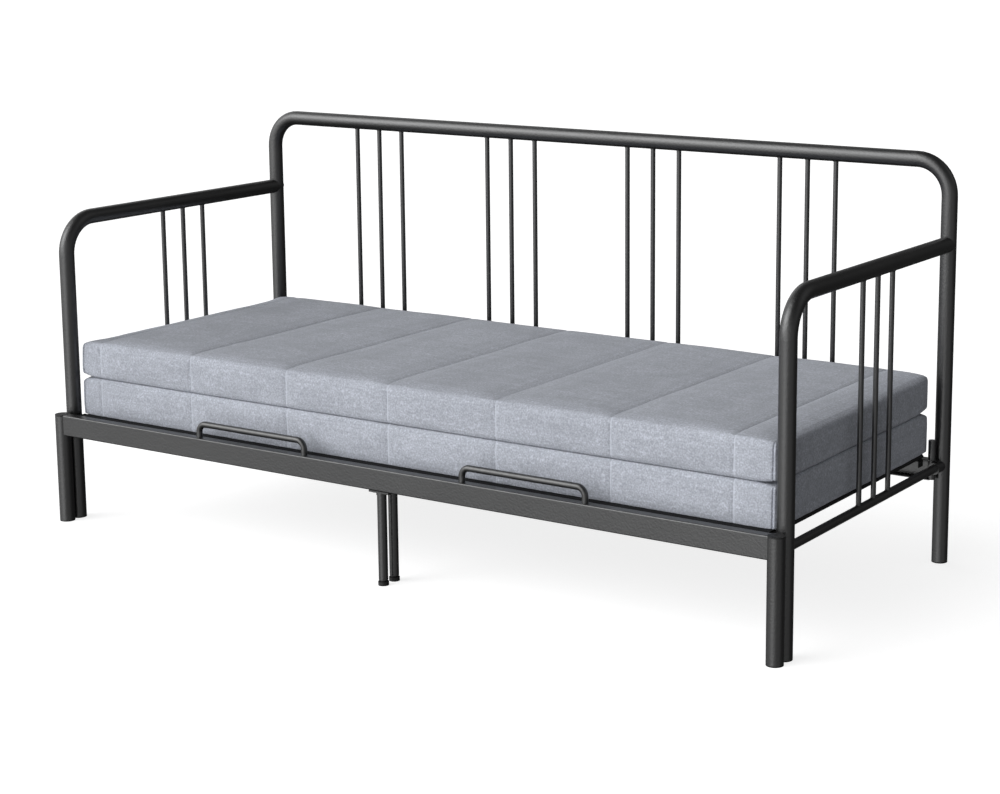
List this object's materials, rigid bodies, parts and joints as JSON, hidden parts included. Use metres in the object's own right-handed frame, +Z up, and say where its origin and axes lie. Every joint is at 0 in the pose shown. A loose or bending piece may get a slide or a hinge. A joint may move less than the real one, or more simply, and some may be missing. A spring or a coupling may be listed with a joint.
{
  "type": "extendable day-bed",
  "caption": "Tubular steel day-bed with spindle back and arms, a pull-out slatted front half, and stacked foam mattresses.",
  "frame": {"origin": "on the floor, under the middle of the bed's overall box", "axes": "+X along the bed's length to the right of a person facing it, +Y to the back, +Z up; the front half pulls out along -Y"},
  "size_m": [2.07, 0.883, 0.979],
  "materials": {
    "frame_steel": "satin",
    "slat_steel": "satin",
    "black_plastic": "matte",
    "zinc_fasteners": "satin",
    "mattress_fabric": "matte",
    "foam": "matte"
  },
  "bodies": {
    "daybed_frame": {"back_frame_tube": "frame_steel", "back_spindles_outer_left": "frame_steel", "back_spindles_inner_left": "frame_steel", "back_spindles_inner_right": "frame_steel", "back_spindles_outer_right": "frame_steel", "back_lower_bar": "frame_steel", "left_arm_tube": "frame_steel", "right_arm_tube": "frame_steel", "left_arm_spindles": "frame_steel", "right_arm_spindles": "frame_steel", "left_end_bar": "frame_steel", "right_end_bar": "frame_steel", "end_bar_collars": "frame_steel", "arm_end_inserts": "black_plastic", "arm_bolts": "zinc_fasteners", "rear_slat_rail": "frame_steel", "rear_corner_pegs": "frame_steel", "fixed_front_beam": "frame_steel", "beam_end_brackets": "frame_steel", "fixed_slats": "slat_steel", "fixed_slat_pads": "black_plastic", "beam_glides": "black_plastic", "back_post_glides": "black_plastic", "arm_leg_glides": "black_plastic", "rear_centre_leg": "frame_steel", "rear_centre_leg_plate": "frame_steel", "rear_centre_leg_screws": "zinc_fasteners", "rear_centre_leg_insert": "black_plastic"},
    "pullout_frame": {"front_rail": "frame_steel", "left_pullout_leg": "frame_steel", "right_pullout_leg": "frame_steel", "pullout_leg_caps": "black_plastic", "pullout_leg_glides": "black_plastic", "left_pull_handle": "frame_steel", "right_pull_handle": "frame_steel", "rail_ledge": "frame_steel", "front_cover_strip": "slat_steel", "moving_slats": "slat_steel", "moving_slat_pads": "black_plastic", "moving_tie_bar": "frame_steel", "tie_bar_end_caps": "black_plastic", "front_centre_leg": "frame_steel", "front_centre_leg_plate": "frame_steel", "front_centre_leg_screws": "zinc_fasteners", "front_centre_leg_insert": "black_plastic"},
    "rear_centre_foot": {"rear_centre_foot": "black_plastic"},
    "front_centre_foot": {"front_centre_foot": "black_plastic"},
    "lower_mattress": {"lower_mattress_cover": "mattress_fabric", "lower_mattress_foam": "foam"},
    "upper_mattress": {"upper_mattress_cover": "mattress_fabric", "upper_mattress_foam": "foam"}
  },
  "joints": [
    {"name": "pullout_slide", "type": "slide", "parent": "daybed_frame", "child": "pullout_frame", "axis": [0, -1, 0], "range_m": [0, 0.72]},
    {"name": "lower_mattress_lift", "type": "slide", "parent": "daybed_frame", "child": "lower_mattress", "axis": [0, 0, 1], "range_m": [0, 0.55]},
    {"name": "upper_mattress_lift", "type": "slide", "parent": "lower_mattress", "child": "upper_mattress", "axis": [0, 0, 1], "range_m": [0, 0.45]},
    {"name": "rear_centre_foot_turn", "type": "hinge", "parent": "daybed_frame", "child": "rear_centre_foot", "pos_m": [0, -0.3825, 0.02], "axis": [0, 0, 1], "continuous": true},
    {"name": "front_centre_foot_turn", "type": "hinge", "parent": "pullout_frame", "child": "front_centre_foot", "pos_m": [0, -0.423, 0.02], "axis": [0, 0, 1], "continuous": true}
  ]
}
